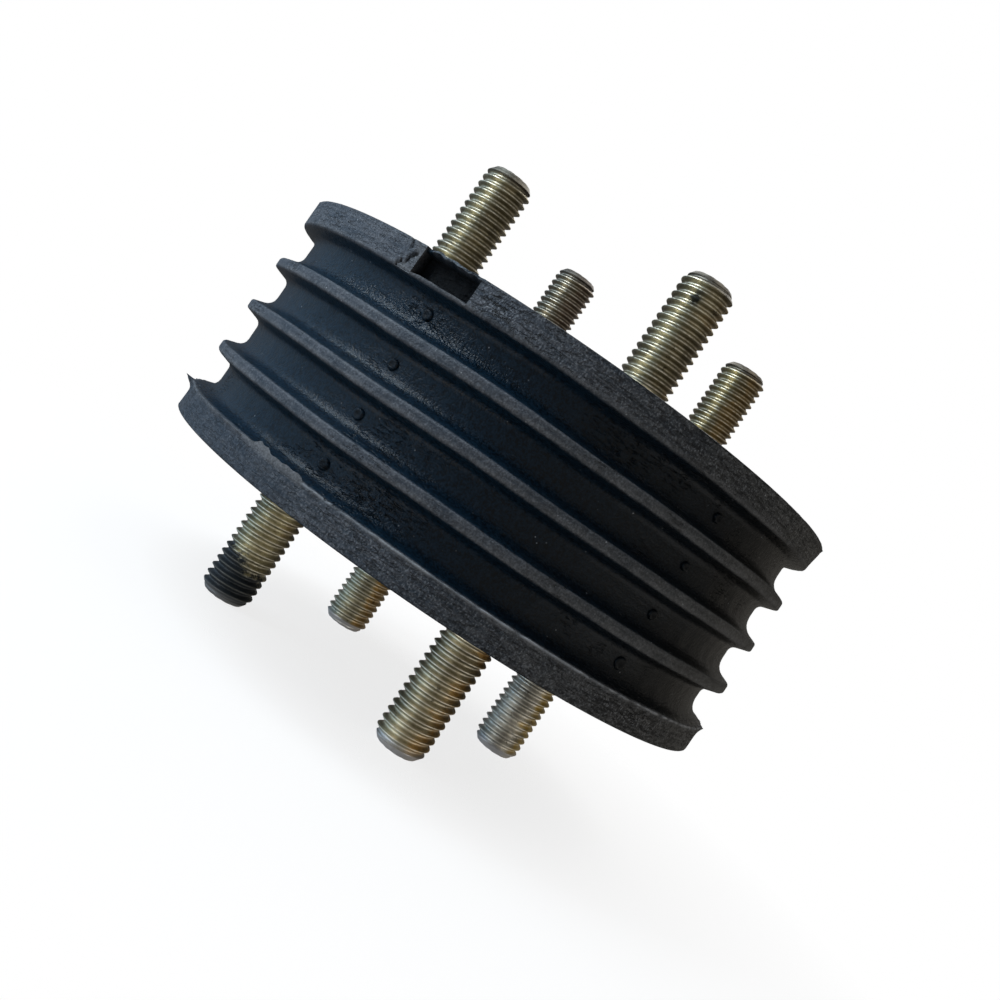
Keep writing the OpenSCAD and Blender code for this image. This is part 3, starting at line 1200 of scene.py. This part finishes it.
@dataclass
class GateMarks:
    """The raised marks that the mould's gates left on the grooves' floors, in millimetres."""

    around: int = 6
    rows: int = 4
    first_height: float = 8.54
    row_pitch: float = 8.975
    floor_radius: float = 54.0
    radius: float = 1.0
    proud: float = 0.6
    smallest: float = 0.8
    largest: float = 1.15
    segments: int = 24
    rings: int = 14
    seed: int = 5

    def tool(self) -> NodeTool:
        """Builds the tree that sets a small stub on each gate's place.

        Returns:
            The tree.
        """
        lengths = ("First height", "Row pitch", "Floor radius", "Mark radius", "Proud")
        inputs = {name: "NodeSocketInt" for name in ("Around", "Rows", "Seed")}
        inputs |= {name: "NodeSocketFloat" for name in lengths}
        tool = NodeTool("gate_marks", inputs | {"Material": "NodeSocketMaterial"})
        g, given = tool.graph, tool.given
        circle = {"Vertices": given["Around"], "Radius": given["Floor radius"]}
        ring = g.add("GeometryNodeMeshCircle", circle).outputs[0]
        quarter = {"Geometry": ring, "Rotation": (0.0, 0.0, math.radians(NOTCH_TURN))}
        ring = g.add("GeometryNodeTransform", quarter).outputs[0]
        line = {
            "Count": given["Rows"],
            "Start Location": g.join(0.0, 0.0, given["First height"]),
            "Offset": g.join(0.0, 0.0, given["Row pitch"]),
        }
        column = g.add("GeometryNodeMeshLine", line).outputs[0]
        rings = g.add("GeometryNodeInstanceOnPoints", {"Points": column, "Instance": ring}).outputs[0]
        spots = g.add("GeometryNodeRealizeInstances", {0: rings}).outputs[0]

        # One stub: a ball drawn out to a blunt disc with a crater in its end
        sphere = {"Segments": self.segments, "Rings": self.rings, "Radius": 1.0}
        ball = g.add("GeometryNodeMeshUVSphere", sphere).outputs[0]
        x, y, z = g.split(g.add("GeometryNodeInputPosition").outputs[0])
        from_axis = g.math("SQRT", g.plus(g.times(x, x), g.times(y, y)))
        crater = g.ramp(from_axis, 0.15, 0.6, 0.62, 1.0)
        raised = g.times(crater, g.math("POWER", g.math("ABSOLUTE", z), 0.6))
        lifted = g.times(raised, g.math("SIGN", z))
        wide, tall = given["Mark radius"], given["Proud"]
        drawn = g.join(g.times(x, wide), g.times(y, wide), g.times(lifted, tall))
        # The stub's middle, with its crater, carries the deep number, which the rubber paints as shade
        ball = g.stored(ball, "deep", g.ramp(from_axis, 0.5, 0.75, 0.6, 0.0))
        stub = g.add("GeometryNodeSetPosition", {"Geometry": ball, "Position": drawn}).outputs[0]

        # Each stub faces outwards and has a width of its own
        px, py, _ = g.split(g.add("GeometryNodeInputPosition").outputs[0])
        outward = {"Vector": g.join(px, py, 0.0)}
        aim = g.add("FunctionNodeAlignRotationToVector", outward, axis="Z").outputs[0]
        vary = g.add("FunctionNodeRandomValue", data_type="FLOAT")
        low, high, _, seed = (s for s in vary.inputs if s.enabled)
        for socket, value in ((low, self.smallest), (high, self.largest), (seed, given["Seed"])):
            g.feed(socket, value)
        size = next(s for s in vary.outputs if s.enabled)
        spread = {"Points": spots, "Instance": stub, "Rotation": aim, "Scale": g.join(size, size, 1.0)}
        marks = g.add("GeometryNodeInstanceOnPoints", spread).outputs[0]
        marks = g.add("GeometryNodeRealizeInstances", {0: marks}).outputs[0]
        tool.end(g.add("GeometryNodeSetShadeSmooth", {"Geometry": marks}).outputs[0])
        return tool

    def build(self, material: bpy.types.Material) -> bpy.types.Object:
        """Sets the marks as one piece of the rubber.

        Args:
            material: The rubber.

        Returns:
            The piece.
        """
        values = {
            "Around": self.around, "Rows": self.rows, "First height": self.first_height * MM,
            "Row pitch": self.row_pitch * MM, "Floor radius": self.floor_radius * MM,
            "Mark radius": self.radius * MM, "Proud": self.proud * MM, "Seed": self.seed,
            "Material": material,
        }
        piece = self.tool().make("gate_marks", values)
        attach(piece, BODY)
        return piece


@dataclass(frozen=True)
class Glow:
    """A bright part of the room: its direction, how far it spreads and its colour."""

    aim: Triple
    low: float
    high: float
    colour: Colour


@dataclass(frozen=True)
class Lamp:
    """One soft light: its direction, its distance and side in millimetres, its watts and its colour."""

    name: str
    aim: Triple
    distance: float
    size: float
    power: float
    colour: Colour


@dataclass
class Studio:
    """A pale floor, soft light and the camera of the view, in millimetres and degrees.

    Each direction is given as shares of the view's right, its up and the way to the camera.
    """

    floor_level: float = -25.05
    floor_radius: float = 300.0
    floor_facets: int = 96
    floor_tone: Colour = (0.9, 0.9, 0.9)
    floor_roughness: float = 0.9
    floor_clear: float = 0.80
    fade_from: float = 30.0
    fade_to: float = 130.0
    middle: float = 22.0
    camera_distance: float = 202.63
    camera_height: float = 21.94
    focal: float = 1.03075
    yaw: float = 0.969
    pitch: float = 2.399
    roll: float = -0.482
    picture_turn: float = 34.0
    shift: tuple[float, float] = (-0.04096, -0.04921)
    sensor: float = 36.0
    clip: float = 10.0
    white: Colour = (1.0, 1.0, 1.0)
    dim: Colour = (0.13, 0.13, 0.13)
    glows: tuple[Glow, ...] = (
        Glow((0.50, 0.05, 0.86), 0.55, 0.95, (0.39, 0.375, 0.34)),
        Glow((-0.95, 0.10, 0.20), 0.35, 0.95, (0.52, 0.74, 0.98)),
        Glow((0.85, -0.15, -0.50), 0.35, 1.0, (0.23, 0.215, 0.19)),
    )

    lamps: tuple[Lamp, ...] = (
        Lamp("key", (-0.64, 0.70, 0.30), 260, 130, 0.64, (0.76, 0.90, 1.0)),
        Lamp("window", (-0.80, 0.42, 0.48), 320, 80, 0.26, (0.88, 0.94, 1.0)),
        Lamp("fill", (-0.52, -0.64, 0.56), 320, 260, 0.28, (1.0, 0.95, 0.87)),
        Lamp("side", (0.80, -0.45, 0.40), 320, 240, 0.12, (1.0, 0.98, 0.95)),
        Lamp("overhead", (0.30, 0.90, 0.30), 300, 180, 0.18, (1.0, 0.99, 0.97)),
        Lamp("back", (0.10, 0.78, -0.62), 340, 280, 0.50, (1.0, 0.99, 0.97)),
    )

    def directions(self) -> tuple[Vector, Vector, Vector]:
        """Lays out the view's axes.

        Returns:
            The view's right, its up and the way to the camera.
        """
        turn = math.radians(CAMERA_TURN)
        right = Vector((math.cos(turn), math.sin(turn), 0))
        return right, Vector((0, 0, 1)), Vector((math.sin(turn), -math.cos(turn), 0))

    def aimed(self, aim: Triple) -> Vector:
        """Returns the unit vector of a direction that is given as shares of the view's axes."""
        return sum((axis * share for axis, share in zip(self.directions(), aim)), Vector()).normalized()

    def camera(self) -> None:
        """Sets the camera up: its yaw, its pitch, its roll and then the turn of the whole picture."""
        yaw, pitch, roll = (math.radians(a) for a in (self.yaw, self.pitch, self.roll))
        right, up, toward = self.directions()
        side = right * math.cos(yaw) + toward * math.sin(yaw)
        ahead = right * math.sin(yaw) - toward * math.cos(yaw)
        down = -up * math.cos(pitch) + ahead * math.sin(pitch)
        ahead = up * math.sin(pitch) + ahead * math.cos(pitch)
        roll_side = side * math.cos(roll) + down * math.sin(roll)
        down = -side * math.sin(roll) + down * math.cos(roll)
        turn = math.radians(self.picture_turn)
        across = roll_side * math.cos(turn) - down * math.sin(turn)
        below = roll_side * math.sin(turn) + down * math.cos(turn)
        data = bpy.data.cameras.new("camera")
        data.sensor_width = self.sensor
        data.lens = self.focal * data.sensor_width
        data.shift_x, data.shift_y = self.shift
        data.clip_start = self.clip * MM
        camera = bpy.data.objects.new("camera", data)
        spot = toward * self.camera_distance * MM + up * self.camera_height * MM
        axes = Matrix((across, -below, -ahead)).transposed().to_4x4()
        camera.matrix_world = Matrix.Translation(spot) @ axes
        bpy.context.scene.collection.objects.link(camera)
        bpy.context.scene.camera = camera

    def hang(self, lamp: Lamp) -> None:
        """Hangs one soft light.

        Args:
            lamp: The light.
        """
        data = bpy.data.lights.new(lamp.name, "AREA")
        data.size = lamp.size * MM
        data.energy = lamp.power
        data.color = lamp.colour
        light = bpy.data.objects.new(lamp.name, data)
        away = self.aimed(lamp.aim)
        spot = Vector((0, 0, self.middle * MM)) + away * lamp.distance * MM
        facing = away.to_track_quat("Z", "Y").to_matrix().to_4x4()
        light.matrix_world = Matrix.Translation(spot) @ facing
        bpy.context.scene.collection.objects.link(light)

    def world(self) -> None:
        """Makes a white ground for the camera and a dim room for all else."""
        world = bpy.data.worlds.new("studio")
        world.use_nodes = True
        bpy.context.scene.world = world
        graph = Graph(world.node_tree)
        world.node_tree.nodes.clear()
        place = graph.add("ShaderNodeTexCoord").outputs["Generated"]
        light = self.dim
        for glow in self.glows:
            facing = graph.measure("DOT_PRODUCT", place, tuple(self.aimed(glow.aim)))
            light = graph.blend(graph.ramp(facing, glow.low, glow.high), light, glow.colour)
        room = graph.add("ShaderNodeBackground", {"Color": light}).outputs[0]
        white = graph.add("ShaderNodeBackground", {"Color": opaque(self.white)}).outputs[0]
        seen = graph.add("ShaderNodeLightPath").outputs["Is Camera Ray"]
        mixed = graph.add("ShaderNodeMixShader", {0: seen, 1: room, 2: white}).outputs[0]
        graph.add("ShaderNodeOutputWorld", {"Surface": mixed})

    def floor(self) -> None:
        """Lays a pale round floor under the studs that fades out before its edge."""
        bm = bmesh.new()
        bmesh.ops.create_circle(bm, cap_ends=True, segments=self.floor_facets, radius=self.floor_radius * MM)
        mesh = bpy.data.meshes.new("floor")
        bm.to_mesh(mesh)
        bm.free()
        material, graph, shader = new_material("pale_floor")
        shader.inputs["Base Color"].default_value = opaque(self.floor_tone)
        shader.inputs["Roughness"].default_value = self.floor_roughness
        gone = graph.measure("LENGTH", graph.place())
        share = graph.ramp(gone, self.fade_from * MM, self.fade_to * MM, self.floor_clear, 1.0)
        clear = graph.add("ShaderNodeBsdfTransparent").outputs[0]
        mixed = graph.add("ShaderNodeMixShader", {0: share, 1: shader.outputs[0], 2: clear}).outputs[0]
        graph.feed(material.node_tree.nodes["Material Output"].inputs["Surface"], mixed)
        floor = place_piece("floor", mesh, material)
        floor.location.z = self.floor_level * MM

    def build(self) -> None:
        """Sets up the floor, the lights and the camera."""
        bpy.context.scene.view_settings.view_transform = "Standard"
        self.world()
        self.floor()
        for lamp in self.lamps:
            self.hang(lamp)
        self.camera()


def dress_plates(material: bpy.types.Material) -> None:
    """Gives the two CAD plates their finish.

    Args:
        material: The plates' steel.
    """
    for end in End:
        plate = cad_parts[f"{end.value}_plate"]
        plate.data.materials.clear()
        plate.data.materials.append(material)
        log.info("dressed %s", plate.name)


def main() -> None:
    """Builds the pieces in order and reports each."""
    logging.basicConfig(level=logging.INFO, format="%(name)s: %(message)s")
    rubber = RubberFinish().build()
    pieces = [RubberBody().build(rubber), GateMarks().build(rubber)]
    pieces += Studs().build()
    for piece in pieces:
        piece.data.calc_loop_triangles()
        log.info("%s has %d triangles", piece.name, len(piece.data.loop_triangles))
    dress_plates(PlateFinish().build())
    Studio().build()


if __name__ == "__main__":
    main()
